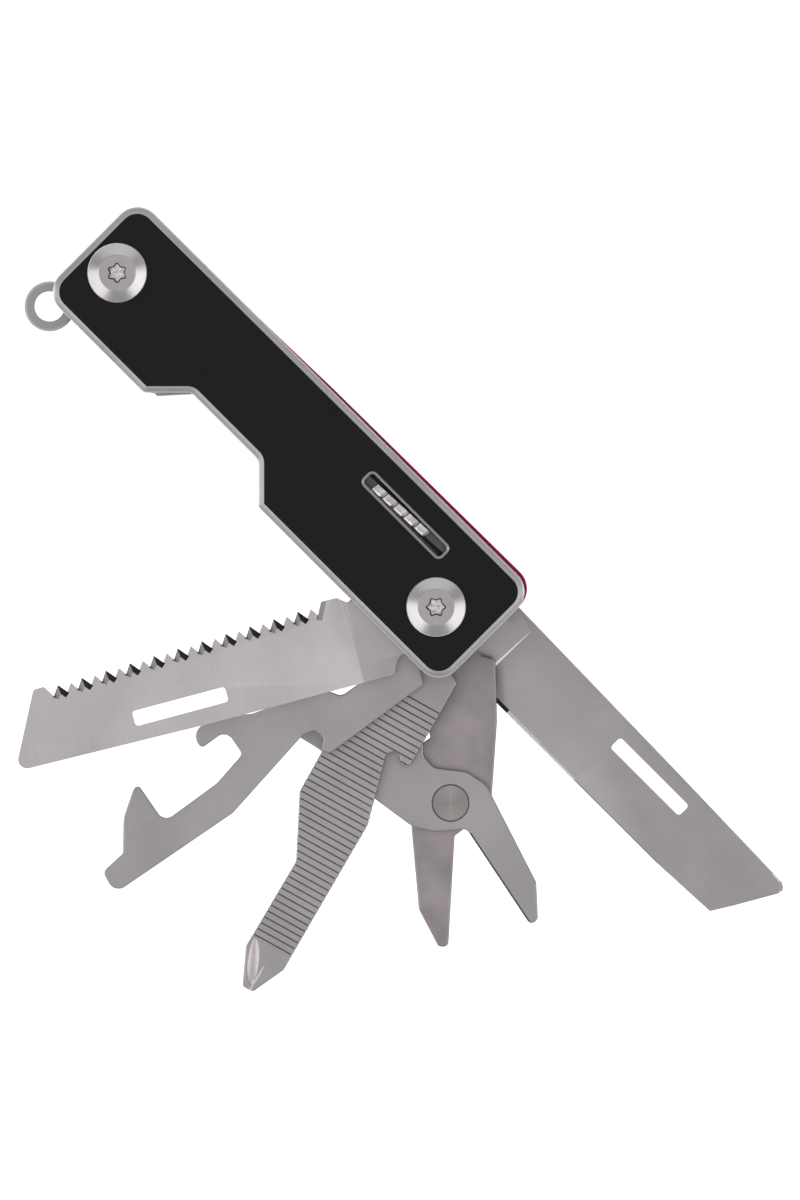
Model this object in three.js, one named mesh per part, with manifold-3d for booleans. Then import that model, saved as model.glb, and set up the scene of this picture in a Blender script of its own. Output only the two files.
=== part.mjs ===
// Folding pocket multi tool: two side plates, five tools on one pivot, a row of
// back springs, a slider in a window and a lanyard bail. All sizes are in mm.
//
// Frame: X runs along the handle towards the opened knife, Y towards the closed
// side (the spine) of the handle, Z from the rear plate to the front plate.
// The origin is on the axis of the main pivot, at the face of its flush rear head.
import * as THREE from 'three';
import Module from 'manifold-3d';

const wasm = await Module();
wasm.setup();

// ---------- sizes ----------
const ARC_STEP = 22 * Math.PI / 180;  // one facet of a rounded corner
const PIVOT_R = 2.4;                  // barrel of the main pivot
const POST_R = 2.2;                   // barrel of the end post
const CLEAR = 0.1;                    // radial gap around a barrel
const HEAD_R = 4.25;                  // screw head on the front plate
const REAR_HEAD_R = 3.6;              // barrel head, sunk flush in the rear plate
const REAR_HEAD_H = 0.75;
const TANG_R = 5.4;                   // round rear end of every tang
const END_POST = [-66, 1.57];

// Layers, bottom and top of each, from the rear plate to the front plate.
const Z = {
  rearScale: [0, 1.5],
  rearLiner: [1.55, 1.95],
  knife: [2.35, 4.35],
  scissorTang: [4.75, 5.95],
  scissorLever: [6.05, 7.25],
  driver: [7.65, 9.45],
  opener: [9.85, 11.35],
  saw: [11.75, 13.35],
  frontLiner: [13.75, 14.15],
  frontScale: [14.2, 15.7],
  top: 16.6,
};
// Neighbouring layers with a washer on the pivot and a spacer on the end post.
const GAPS = [
  ['rearLiner', 'knife'], ['knife', 'scissorTang'], ['scissorLever', 'driver'],
  ['driver', 'opener'], ['opener', 'saw'], ['saw', 'frontLiner'],
];

// The way each tool points, fanned out, in degrees from +X.
const FAN = { saw: -120, opener: -98.3, driver: -74, scissors: -43.5, knife: 0 };
const RIVET = [28.4, 1.05];           // scissor rivet, in the tang's own frame

// ---------- materials ----------
const finish = (color, roughness, metalness) =>
  new THREE.MeshStandardMaterial({ color, roughness, metalness });
const STEEL = finish(0xa09ca0, 0.38, 1.0);
const BRIGHT_STEEL = finish(0xc4c2c6, 0.25, 1.0);
const SPRING_STEEL = finish(0x8c898c, 0.42, 1.0);
const BLACK_ALUMINIUM = finish(0x19191c, 0.55, 0.6);
const RED_ALUMINIUM = finish(0x9c1230, 0.4, 0.8);
const BRONZE = finish(0xb08850, 0.35, 1.0);

// ---------- outlines ----------
// Turns corners [x, y, radius] into points, each corner an arc. The outline runs
// counter-clockwise; inset moves every edge inwards, keeping the point count.
function outline(corners, inset = 0) {
  const points = [];
  const count = corners.length;
  for (let i = 0; i < count; i += 1) {
    const [x, y, radius = 0] = corners[i];
    const before = corners[(i + count - 1) % count];
    const after = corners[(i + 1) % count];
    const into = new THREE.Vector2(x - before[0], y - before[1]).normalize();
    const out = new THREE.Vector2(after[0] - x, after[1] - y).normalize();
    const normalIn = new THREE.Vector2(-into.y, into.x);
    const normalOut = new THREE.Vector2(-out.y, out.x);
    const turn = Math.atan2(into.cross(out), into.dot(out));
    const shift = inset / (1 + normalIn.dot(normalOut));
    const corner = new THREE.Vector2(x, y)
      .addScaledVector(normalIn, shift)
      .addScaledVector(normalOut, shift);
    if (radius === 0) {
      points.push(corner);
      continue;
    }
    const side = Math.sign(turn);
    const bend = Math.max(radius - side * inset, 0.03);
    const start = corner.clone().addScaledVector(into, -bend * Math.tan(Math.abs(turn) / 2));
    const centre = start.clone().addScaledVector(normalIn, side * bend);
    const steps = Math.max(1, Math.ceil(Math.abs(turn) / ARC_STEP));
    for (let k = 0; k <= steps; k += 1) {
      const spoke = start.clone().sub(centre);
      spoke.rotateAround(new THREE.Vector2(0, 0), turn * k / steps);
      points.push(spoke.add(centre));
    }
  }
  return points;
}

// A circle as points, counter-clockwise.
function circle(x, y, radius, facets = 24) {
  const points = [];
  for (let k = 0; k < facets; k += 1) {
    const angle = 2 * Math.PI * k / facets;
    points.push(new THREE.Vector2(x + radius * Math.cos(angle), y + radius * Math.sin(angle)));
  }
  return points;
}

// Part of a circle as sharp corners, from one angle to another, in degrees.
function arc(x, y, radius, from, to, steps) {
  const corners = [];
  for (let k = 0; k <= steps; k += 1) {
    const angle = (from + (to - from) * k / steps) * Math.PI / 180;
    corners.push([x + radius * Math.cos(angle), y + radius * Math.sin(angle)]);
  }
  return corners;
}

// A rectangle with rounded corners, as corners.
const slotCorners = (x0, x1, y0, y1, r) => [[x0, y0, r], [x1, y0, r], [x1, y1, r], [x0, y1, r]];

// ---------- solids ----------
// Joins matching outlines at rising heights into one closed solid. Each level is
// { z, outer, holes }, and every level has the same number of points.
function loft(levels) {
  const positions = [];
  const index = [];
  const starts = [];
  for (const { z, outer, holes } of levels) {
    starts.push(positions.length / 3);
    const loops = [outer, ...holes.map((hole) => [...hole].reverse())];
    loops.flat().forEach((point) => positions.push(point.x, point.y, z));
  }
  const { outer, holes } = levels[0];
  const turned = holes.map((hole) => [...hole].reverse());
  const loops = [outer, ...turned];
  for (let k = 0; k + 1 < levels.length; k += 1) {
    let first = 0;
    for (const loop of loops) {
      for (let i = 0; i < loop.length; i += 1) {
        const a = starts[k] + first + i;
        const b = starts[k] + first + (i + 1) % loop.length;
        const rise = starts[k + 1] - starts[k];
        index.push(a, b, b + rise, a, b + rise, a + rise);
      }
      first += loop.length;
    }
  }
  const cap = (level, flip) => {
    const shape = levels[level];
    const capHoles = shape.holes.map((hole) => [...hole].reverse());
    for (const [a, b, c] of THREE.ShapeUtils.triangulateShape([...shape.outer], capHoles)) {
      const s = starts[level];
      index.push(...(flip ? [s + c, s + b, s + a] : [s + a, s + b, s + c]));
    }
  };
  cap(0, true);
  cap(levels.length - 1, false);
  const geometry = new THREE.BufferGeometry();
  geometry.setAttribute('position', new THREE.Float32BufferAttribute(positions, 3));
  geometry.setIndex(index);
  return geometry;
}

// A flat plate between two heights.
function plate([z0, z1], outer, holes = []) {
  return loft([{ z: z0, outer, holes }, { z: z1, outer, holes }]);
}

function toManifold(geometry) {
  return new wasm.Manifold(new wasm.Mesh({
    numProp: 3,
    vertProperties: new Float32Array(geometry.attributes.position.array),
    triVerts: new Uint32Array(geometry.index.array),
  }));
}

function fromManifold(solid) {
  const mesh = solid.getMesh();
  const geometry = new THREE.BufferGeometry();
  geometry.setAttribute('position', new THREE.BufferAttribute(new Float32Array(mesh.vertProperties), 3));
  geometry.setIndex(new THREE.BufferAttribute(new Uint32Array(mesh.triVerts), 1));
  return geometry;
}

// The first geometry with the others cut away.
function cut(geometry, ...cutters) {
  let solid = toManifold(geometry);
  for (const cutter of cutters) solid = solid.subtract(toManifold(cutter));
  return fromManifold(solid);
}

// A turned solid about the Z axis, from [radius, z] points that start and end on it.
function turned(profile, facets = 24) {
  const rings = profile.slice(1, -1).map(([radius, z]) => {
    return circle(0, 0, radius, facets).map((point) => [point.x, point.y, z]);
  });
  const positions = [0, 0, profile[0][1], ...rings.flat(2), 0, 0, profile[profile.length - 1][1]];
  const last = rings.length * facets + 1;
  const index = [];
  for (let i = 0; i < facets; i += 1) {
    const j = (i + 1) % facets;
    index.push(0, 1 + j, 1 + i);
    for (let k = 0; k + 1 < rings.length; k += 1) {
      const low = 1 + k * facets;
      const high = low + facets;
      index.push(low + i, low + j, high + j, low + i, high + j, high + i);
    }
    index.push(last, last - facets + i, last - facets + j);
  }
  const geometry = new THREE.BufferGeometry();
  geometry.setAttribute('position', new THREE.Float32BufferAttribute(positions, 3));
  geometry.setIndex(index);
  return geometry;
}

// The same points, counter-clockwise.
function counterClockwise(points) {
  return THREE.ShapeUtils.area(points) < 0 ? [...points].reverse() : points;
}

// A solid swept along X from a section of [y, z] points.
function beam(x0, x1, section) {
  const outer = counterClockwise(section.map(([y, z]) => new THREE.Vector2(y, z)));
  const geometry = plate([x0, x1], outer);
  const toX = new THREE.Matrix4().makeBasis(
    new THREE.Vector3(0, 1, 0), new THREE.Vector3(0, 0, 1), new THREE.Vector3(1, 0, 0));
  return geometry.applyMatrix4(toX);
}

// A solid swept along Y from a section of [x, z] points.
function crossBeam(y0, y1, section) {
  const outer = counterClockwise(section.map(([x, z]) => new THREE.Vector2(x, z)));
  return plate([-y1, -y0], outer).rotateX(Math.PI / 2);
}

// ---------- the assembly ----------
const tool = new THREE.Group();
tool.name = 'multi_tool';

function add(name, geometry, material) {
  const mesh = new THREE.Mesh(geometry, material.clone());
  mesh.name = name;
  tool.add(mesh);
  return mesh;
}

const pivotHole = circle(0, 0, PIVOT_R + CLEAR);
const postHole = circle(...END_POST, POST_R + CLEAR);

// ---------- side plates ----------
// Corners of the handle's outline, with the finger notch in its open side.
const HANDLE = [
  [-71.6, -7.9, 3.4], [-51.2, -7.9, 1.0], [-46.4, -3.1, 1.4], [-33.0, -3.1, 1.4],
  [-28.2, -7.9, 1.0], [8.4, -7.9, 3.4], [8.4, 11.45, 3.4], [-71.6, 11.2, 3.4],
];
const WINDOW = slotCorners(-20.0, -4.75, 5.25, 7.1, 0.5);
const RIM = 0.95;         // width of the chamfer around the front plate
const WINDOW_RIM = 0.45;

const frontEdge = Z.frontScale[1] - 0.45;
add('front_scale', loft([
  { z: Z.frontScale[0], outer: outline(HANDLE), holes: [pivotHole, postHole, outline(WINDOW)] },
  { z: frontEdge, outer: outline(HANDLE), holes: [pivotHole, postHole, outline(WINDOW)] },
  {
    z: Z.frontScale[1],
    outer: outline(HANDLE, RIM),
    holes: [pivotHole, postHole, outline(WINDOW, -WINDOW_RIM)],
  },
]), BLACK_ALUMINIUM);

// The rear plate has a counterbore for each barrel head, and no window. Its spine
// side narrows a little towards the end post.
const REAR_RIM = 0.6;
const REAR_HANDLE = [...HANDLE.slice(0, -1), [-71.6, 10.3, 3.4]];
const sunkHoles = [circle(0, 0, REAR_HEAD_R + CLEAR), circle(...END_POST, REAR_HEAD_R + CLEAR)];
add('rear_scale', loft([
  { z: 0, outer: outline(REAR_HANDLE, REAR_RIM), holes: sunkHoles },
  { z: 0.4, outer: outline(REAR_HANDLE), holes: sunkHoles },
  { z: REAR_HEAD_H + 0.05, outer: outline(REAR_HANDLE), holes: sunkHoles },
  { z: REAR_HEAD_H + 0.05, outer: outline(REAR_HANDLE), holes: [pivotHole, postHole] },
  { z: Z.rearScale[1], outer: outline(REAR_HANDLE), holes: [pivotHole, postHole] },
]), RED_ALUMINIUM);

// Steel liners inside the plates. The one in front shows at the notch's slope.
const LINER = [
  [-71.0, -7.2, 3.0], [-50.3, -7.2, 0.2], [-50.1, -6.95, 0.2], [-49.5, -6.95, 0.3],
  [-45.6, -2.6, 1.4], [-33.2, -2.6, 1.4], [-28.4, -7.3, 1.0], [7.8, -7.3, 2.8],
  [7.8, 10.8, 2.8], [-71.0, 10.8, 2.8],
];
const SLIDE_SLOT = slotCorners(-23.3, -0.6, 5.0, 7.5, 0.4);
add('front_liner', plate(Z.frontLiner, outline(LINER), [pivotHole, postHole, outline(SLIDE_SLOT)]),
  STEEL);
add('rear_liner', plate(Z.rearLiner, outline(LINER, 0.6), [pivotHole, postHole]), STEEL);

// ---------- pivot, end post, washers ----------
// A plain head at the rear with a barrel that ends in a bore for the screw.
function barrel(radius) {
  return turned([
    [0, 0], [REAR_HEAD_R, 0], [REAR_HEAD_R, REAR_HEAD_H], [radius, REAR_HEAD_H],
    [radius, Z.frontScale[1]], [1.6, Z.frontScale[1]], [1.6, 8], [0, 8],
  ]);
}

// A low head with a chamfered rim and a six-point socket, on a short shank.
function socketScrew(twist) {
  const under = Z.frontScale[1] + 0.05;
  const screw = turned([
    [0, 8.6], [1.4, 8.6], [1.4, under], [HEAD_R, under],
    [HEAD_R, Z.top - 0.6], [HEAD_R * 0.62, Z.top], [0, Z.top],
  ]);
  const star = [];
  for (let k = 0; k < 12; k += 1) {
    const angle = twist + k * Math.PI / 6;
    const radius = k % 2 === 0 ? 1.38 : 0.92;
    star.push([radius * Math.cos(angle), radius * Math.sin(angle), k % 2 === 0 ? 0.12 : 0.25]);
  }
  return cut(screw, plate([Z.top - 1.4, Z.top + 1], outline(star)));
}

add('pivot_barrel', barrel(PIVOT_R), BRIGHT_STEEL);
add('pivot_screw', socketScrew(-0.24), BRIGHT_STEEL);
add('end_barrel', barrel(POST_R).translate(...END_POST, 0), BRIGHT_STEEL);
add('end_screw', socketScrew(0.28).translate(...END_POST, 0), BRIGHT_STEEL);

// Bronze washers beside the tools on the main pivot, steel spacers between the
// back springs on the end post.
GAPS.forEach(([below, above], k) => {
  const bottom = Z[below][1];
  const top = Z[above][0];
  const washer = plate([bottom + 0.1, top - 0.1], circle(0, 0, 4.6), [pivotHole]);
  add(`pivot_washer_${k + 1}`, washer, BRONZE);
  const spacer = plate([bottom + 0.05, top - 0.05], circle(...END_POST, 3.6), [postHole]);
  add(`end_spacer_${k + 1}`, spacer, STEEL);
});
// The lever's layer has no tang on the pivot, so a ring takes its place there.
add('pivot_spacer', plate(Z.scissorLever, circle(0, 0, 4.2), [pivotHole]), STEEL);

// ---------- back springs ----------
// One leaf per tool: an eye on the end post, a slim arm along the spine and a
// foot that stands over the tang.
const SPRING = [
  ...arc(...END_POST, 4.2, 180, 330, 7),
  [-60.4, 4.6, 2.2], [-56.5, 6.9, 3.0], [-13.0, 6.9, 3.0], [-9.0, 5.75, 2.0],
  [6.4, 5.75, 0.4], [6.4, 8.8, 0.6], [4.2, 10.6, 1.5], [-70.2, 10.6, 2.6],
];
const springOutline = outline(SPRING);
for (const layer of ['knife', 'scissorTang', 'driver', 'opener', 'saw']) {
  const name = layer === 'scissorTang' ? 'scissors' : layer;
  add(`backspring_${name}`, plate(Z[layer], springOutline, [postHole]), SPRING_STEEL);
}

// ---------- tools, each in its own frame: pivot at the origin, tip along +X ----------
// The rear of a tang: a flat for the spring, the round end, and the kick below.
const TANG_TOP = [[8.35, 7.85, 0.6], [7.45, 5.95, 0.5], [6.7, 5.35, 0.6]];
const TANG_END = arc(0, 0, TANG_R, 82, 278, 11);

function addTool(name, geometry, angle) {
  return add(name, geometry.rotateZ(angle * Math.PI / 180), STEEL);
}

// Saw: fine and coarse teeth in turn, along an edge that drops towards the tang.
const SAW_PITCH = 3.59;
const SAW_PAIRS = 11;
const SAW_DROP = 0.035;
function sawTeeth() {
  const corners = [];
  for (let k = SAW_PAIRS - 1; k >= 0; k -= 1) {
    const x = 55.35 - SAW_PITCH * k;
    const lower = -SAW_DROP * SAW_PITCH * k;
    corners.push([x - 2.68, lower - 1.85], [x - 1.9, lower - 3.0, 0.08]);
    corners.push([x - 1.1, lower - 1.85], [x, lower - 3.15, 0.06]);
  }
  corners.push([56.3, -1.75]);
  return corners;
}
const SAW = [
  ...TANG_TOP, ...TANG_END,
  [10.9, -5.0, 0.6], [11.6, -4.2, 0.4], [12.25, -3.75, 0.4], [13.6, -4.85, 0.3], [15.85, -4.9, 0.2],
  ...sawTeeth(),
  [57.35, -3.45, 0.5], [58.9, -3.4, 0.5], [60.2, -0.9, 0], [64.45, 7.25, 1.3], [36, 7.8, 0],
];
const slotOutline = (y0, y1) => outline(slotCorners(32.3, 46.1, y0, y1, 0.5));
const sawBody = plate(Z.saw, outline(SAW), [circle(0, 0, PIVOT_R + CLEAR), slotOutline(3.25, 5.45)]);
// Both faces of the blade are ground a little below those of the tang.
const sawGrind = 0.2;
const sawFace = (z, depth) => [[12.5, z], [13.3, z + depth], [80, z + depth], [80, z - 3 * depth],
  [12.5, z - 3 * depth]];
addTool('saw_blade', cut(
  sawBody,
  crossBeam(-12, 12, sawFace(Z.saw[0], sawGrind)),
  crossBeam(-12, 12, sawFace(Z.saw[1], -sawGrind)),
), FAN.saw);

// Bottle and tin opener: a notch, the mouth of the bottle opener with its lip,
// and the tin opener's hook.
const OPENER = [
  ...TANG_TOP, ...TANG_END,
  [11.0, -5.0, 0.8], [14.6, 2.2, 1.6], [18.7, 2.15, 1.2], [20.4, -0.4, 1.0], [30.6, -3.5, 2.0],
  [34.4, -5.9, 2.0], [39.5, -6.9, 1.9], [39.2, -3.8, 0.6], [34.9, -3.75, 1.4], [35.05, 0.35, 0.9],
  [40.6, 1.5, 3.0], [49.9, 1.4, 1.4], [49.65, -5.1, 0.55], [50.6, -4.95, 1.0], [54.2, -2.5, 5.0],
  [57.3, 1.5, 0.4], [61.2, 1.9, 0.9], [61.7, 5.45, 1.6], [41.2, 6.3, 1.5], [26.4, 3.3, 1.4],
  [24.45, 3.9, 1.2], [24.4, 5.5, 0.8], [25.75, 6.7, 0.2], [24.9, 7.75, 0.4],
];
addTool('bottle_opener', plate(Z.opener, outline(OPENER), [circle(0, 0, PIVOT_R + CLEAR)]),
  FAN.opener);

// File and cross-point driver: a hook behind, a wide file and a pointed tip.
const DRIVER = [
  ...TANG_TOP, ...TANG_END,
  [12.0, -5.0, 2.0], [16.0, -4.35, 2.0], [32.9, -4.4, 1.0], [41.9, 0.0, 1.5],
  [56.0, -0.4, 0.8], [61.3, 1.95, 0.5], [61.3, 3.65, 0.7], [56.4, 6.0, 0.6], [32.4, 6.5, 3.0],
  [22.2, 3.85, 0.9], [20.9, 5.1, 0.5], [22.6, 6.5, 0.25], [21.9, 7.65, 0.6],
];
addTool('file_driver', plate(Z.driver, outline(DRIVER), [circle(0, 0, PIVOT_R + CLEAR)]), FAN.driver);

// Knife: sheepsfoot blade with a thumb slot, both faces ground from near the
// spine down to the edge.
const KNIFE = [
  ...TANG_TOP, ...TANG_END,
  [11.0, -5.1, 0.8], [13.9, -3.7, 0.8], [15.4, -4.15, 0.4], [48, -4.15, 8], [58.6, -3.65, 0.3],
  [60.3, -0.9, 0.5], [64.2, 5.9, 0.9], [62.9, 6.6, 0.6], [42, 7.15, 0],
];
const knifeSlot = outline(slotCorners(31.9, 45.8, 2.85, 4.95, 0.5));
const knifeBody = plate(Z.knife, outline(KNIFE), [circle(0, 0, PIVOT_R + CLEAR), knifeSlot]);
const knifeGrind = (z, side) => [[7.4, z + side], [7.4, z], [-4.2, z - side * 0.85], [-6, z - side * 0.85],
  [-6, z + side]];
addTool('knife_blade', cut(
  knifeBody,
  beam(12.0, 80, knifeGrind(Z.knife[0], -1)),
  beam(12.0, 80, knifeGrind(Z.knife[1], 1)),
), FAN.knife);

// ---------- scissors ----------
// The rear half hangs on the main pivot and carries the rivet.
const RIVET_HOLE = 1.6;
const SCISSOR_TANG = [
  [8.0, 8.0, 0.6], [7.4, 5.95, 0.5], [6.7, 5.35, 0.6], ...TANG_END,
  [11.0, -4.9, 1.0], [16.2, -3.7, 1.0], [17.5, -1.5, 0.5], [19.0, -1.5, 0.5], [19.8, -2.9, 0.6],
  [24.5, -4.5, 2.0], [31.9, -4.7, 0], [43.6, -3.95, 1.0], [49.0, -1.3, 0.6], [49.1, 0.1, 0.7],
  [33.2, 1.45, 0.6], [32.0, 3.2, 1.0], [29.0, 6.8, 3.0], [17, 7.95, 3],
];
const tangBody = plate(Z.scissorTang, outline(SCISSOR_TANG),
  [circle(0, 0, PIVOT_R + CLEAR), circle(...RIVET, RIVET_HOLE)]);
const rearRecess = plate([Z.scissorTang[0] - 1, Z.scissorTang[0] + 0.65], circle(...RIVET, 2.5));
addTool('scissor_tang', cut(tangBody, rearRecess), FAN.scissors);

// The front half turns on the rivet: a blade one way, the thumb lever the other.
const SCISSOR_LEVER = [
  [25.9, 6.2, 3.0], [24.0, 3.4, 2.0], [23.3, -1.2, 1.5], [21.6, -2.7, 1.5], [19.6, -2.6, 0.8],
  [18.6, -8.0, 6.0], [13.4, -20.6, 2.2], [16.6, -23.2, 2.0], [20.2, -17.6, 6.0], [26.6, -11.0, 8.0],
  [31.6, -4.6, 3.0], [32.5, -1.4, 3.0], [32.2, 3.2, 0.9], [46.5, 12.15, 0.8], [45.3, 13.1, 0.8],
  [40.1, 13.0, 1.0],
];
const leverBody = plate(Z.scissorLever, outline(SCISSOR_LEVER), [circle(...RIVET, RIVET_HOLE)]);
const frontRecess = plate([Z.scissorLever[0] + 0.4, Z.scissorLever[1] + 1], circle(...RIVET, 2.72));
addTool('scissor_lever', cut(leverBody, frontRecess), FAN.scissors);

const rivet = turned([
  [0, 4.8], [2.35, 4.8], [2.35, 5.3], [1.45, 5.3], [1.45, 6.55], [2.6, 6.55], [2.6, 7.2],
  [2.5, 7.3], [0, 7.3],
]).translate(...RIVET, 0);
addTool('scissor_rivet', rivet, FAN.scissors);

// A leaf on the rear half that pushes the lever open.
const LEAF = [
  [9.4, -3.0, 0.5], [11.6, -3.0, 0.4], [15.4, -5.4, 2.5], [17.6, -8.6, 0.3],
  [18.1, -8.0, 0.3], [16.0, -4.6, 3.2], [11.8, -1.6, 0.5], [9.4, -1.6, 0.5],
];
addTool('scissor_spring', plate([6.15, 7.15], outline(LEAF)), FAN.scissors);

// ---------- slider in the window ----------
// A flat slide in the liner's slot with a ribbed bar that the thumb pushes.
const RIBS = 5;
const RIB_PITCH = 2.05;
function ribbedBar() {
  const low = Z.frontLiner[1] - 0.02;
  const section = [[-5.1, low], [5.1, low], [5.1, low + 0.45]];
  for (let k = RIBS - 1; k >= 0; k -= 1) {
    const x = (k - (RIBS - 1) / 2) * RIB_PITCH;
    section.push([x + 0.7, low + 1.15], [x, low + 1.3], [x - 0.7, low + 1.15]);
    if (k > 0) section.push([x - RIB_PITCH / 2, low + 0.8]);
  }
  section.push([-5.1, low + 0.45]);
  return crossBeam(-0.64, 0.64, section).rotateZ(2.4 * Math.PI / 180).translate(-13.3, 6.18, 0);
}
const slidePlate = plate([Z.frontLiner[0], Z.frontLiner[1]], outline(slotCorners(-21.9, -3.9, 5.45, 7.15, 0.3)));
add('lock_slider', fromManifold(toManifold(slidePlate).add(toManifold(ribbedBar()))), STEEL);

// ---------- lanyard bail ----------
// A loop with an eye on the end post, in the layer that has no spring.
const BAIL_RING = [-3.6, -10.65];
const BAIL_R = 3.6;
function bail() {
  const eye = plate([0, 1.2], circle(0, 0, 3.5));
  const ring = plate([0, 1.2], circle(...BAIL_RING, BAIL_R));
  const arm = plate([0, 1.2], outline([[-1.9, -1.0], [-4.9, -9.7], [-1.9, -10.7], [1.2, -2.0]]));
  const joined = toManifold(eye).add(toManifold(arm)).add(toManifold(ring));
  const eyeHole = plate([-1, 3], circle(0, 0, POST_R + 0.15));
  const ringHole = plate([-1, 3], circle(...BAIL_RING, 2.15));
  return fromManifold(joined.subtract(toManifold(eyeHole)).subtract(toManifold(ringHole)));
}
add('lanyard_bail', bail().translate(...END_POST, Z.scissorLever[0]), STEEL);

export default tool;
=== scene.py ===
import math

import bmesh
import bpy
from mathutils import Matrix, Vector
from mathutils.geometry import tessellate_polygon


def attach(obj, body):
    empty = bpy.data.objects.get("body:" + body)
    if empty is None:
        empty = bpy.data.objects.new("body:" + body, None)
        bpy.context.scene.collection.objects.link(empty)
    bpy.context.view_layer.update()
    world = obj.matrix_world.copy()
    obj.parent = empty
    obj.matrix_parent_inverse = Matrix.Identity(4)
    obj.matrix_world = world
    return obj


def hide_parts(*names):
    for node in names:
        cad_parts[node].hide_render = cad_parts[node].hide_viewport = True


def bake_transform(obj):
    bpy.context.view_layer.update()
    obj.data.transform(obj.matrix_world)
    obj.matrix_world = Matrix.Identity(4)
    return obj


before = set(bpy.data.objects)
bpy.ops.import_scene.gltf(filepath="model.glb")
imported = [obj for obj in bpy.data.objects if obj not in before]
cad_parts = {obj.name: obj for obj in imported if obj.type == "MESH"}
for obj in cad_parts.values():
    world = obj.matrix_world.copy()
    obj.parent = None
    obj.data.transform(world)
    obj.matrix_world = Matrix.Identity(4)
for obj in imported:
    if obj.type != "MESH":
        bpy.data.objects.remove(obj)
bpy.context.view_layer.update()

MM = 0.001
PIVOT_R = 2.4
POST_R = 2.2
CLEAR = 0.1
HEAD_R = 4.25
REAR_HEAD_R = 3.6
REAR_HEAD_H = 0.75
TANG_R = 5.4
WASHER_R = 4.6
SPACER_R = 3.6
END_POST = (-66.0, 1.57)
RIVET = (28.4, 1.05)
RIVET_R = 2.6
RIVET_BORE = 1.6
BAIL_RING = (-3.6, -10.65)
BAIL_R = 3.6
BAIL_HOLE_R = 2.15
# How each tool is turned in the fan, in degrees.
FAN = {"saw": -120, "opener": -98.3, "driver": -74, "scissors": -43.5, "knife": 0}
# The heights of the layers, from the rear to the front.
LAYERS = {
    "rear_scale": (0, 1.5),
    "rear_liner": (1.55, 1.95),
    "knife": (2.35, 4.35),
    "scissor_tang": (4.75, 5.95),
    "scissor_lever": (6.05, 7.25),
    "driver": (7.65, 9.45),
    "opener": (9.85, 11.35),
    "saw": (11.75, 13.35),
    "front_liner": (13.75, 14.15),
    "front_scale": (14.2, 15.7),
}
TOP = 16.6
# The neighbours that a washer and a spacer keep apart.
GAPS = (("rear_liner", "knife"), ("knife", "scissor_tang"), ("scissor_lever", "driver"),
        ("driver", "opener"), ("opener", "saw"), ("saw", "front_liner"))


# ---------- outlines ----------
def outline(corners, inset=0.0):
    """Points of a closed outline of [x, y, fillet radius] corners, counter-clockwise."""
    points = []
    for i, corner in enumerate(corners):
        radius = corner[2] if len(corner) > 2 else 0
        here = Vector(corner[:2])
        before = Vector(corners[i - 1][:2])
        after = Vector(corners[(i + 1) % len(corners)][:2])
        into = (here - before).normalized()
        out = (after - here).normalized()
        side_in = Vector((-into.y, into.x))
        side_out = Vector((-out.y, out.x))
        turn = math.atan2(into.cross(out), into.dot(out))
        here = here + (side_in + side_out) * (inset / (1 + side_in.dot(side_out)))
        if radius == 0:
            points.append(here)
            continue
        side = math.copysign(1, turn)
        bend = max(radius - side * inset, 0.03)
        start = here - into * (bend * math.tan(abs(turn) / 2))
        centre = start + side_in * (side * bend)
        steps = max(2, math.ceil(abs(turn) / math.radians(7)))
        for k in range(steps + 1):
            points.append(centre + Matrix.Rotation(turn * k / steps, 2) @ (start - centre))
    return points


def circle(x, y, radius, count=72):
    turns = [2 * math.pi * k / count for k in range(count)]
    return [Vector((x + radius * math.cos(a), y + radius * math.sin(a))) for a in turns]


def arc(x, y, radius, start, end, steps):
    turns = [math.radians(start + (end - start) * k / steps) for k in range(steps + 1)]
    return [(x + radius * math.cos(a), y + radius * math.sin(a)) for a in turns]


def finely(points, step=0.5):
    """The same outline with extra points along its long sides."""
    found = []
    for i, here in enumerate(points):
        after = points[(i + 1) % len(points)]
        parts = max(1, math.ceil((after - here).length / step))
        found += [here.lerp(after, k / parts) for k in range(parts)]
    return found


def box_corners(x0, x1, y0, y1, radius):
    return [(x0, y0, radius), (x1, y0, radius), (x1, y1, radius), (x0, y1, radius)]


# A shape is a function of how far its edge moves inwards.
def shape(corners):
    return lambda inset: outline(corners, inset)


def disc(x, y, radius):
    return lambda inset: circle(x, y, radius - inset)


# ---------- solids: (vertices, faces, material index of each face) ----------
def loft(levels, paints=None):
    """Joins outlines at rising heights. Each level is (z, outer, holes); paints gives
    the material of the bottom, of each band of walls and of the top."""
    paints = paints or [0] * (len(levels) + 1)
    vertices, faces, marks = [], [], []
    starts = []
    for z, outer, holes in levels:
        starts.append(len(vertices))
        for loop in [outer] + [hole[::-1] for hole in holes]:
            vertices += [(p.x, p.y, z) for p in loop]
    sizes = [len(levels[0][1])] + [len(hole) for hole in levels[0][2]]
    for k in range(len(levels) - 1):
        rise = starts[k + 1] - starts[k]
        first = starts[k]
        for size in sizes:
            for i in range(size):
                a, b = first + i, first + (i + 1) % size
                faces.append((a, b, b + rise, a + rise))
                marks.append(paints[k + 1])
            first += size
    for level, flip in ((0, True), (len(levels) - 1, False)):
        z, outer, holes = levels[level]
        loops = [outer] + [hole[::-1] for hole in holes]
        for triangle in tessellate_polygon([[p.to_3d() for p in loop] for loop in loops]):
            corners = [vertices[starts[level] + i] for i in triangle]
            a, b, c = [Vector(p[:2]) for p in corners]
            face = [starts[level] + i for i in triangle]
            if ((b - a).cross(c - a) > 0) == flip:
                face.reverse()
            faces.append(tuple(face))
            marks.append(paints[0] if flip else paints[-1])
    return vertices, faces, marks


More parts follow.
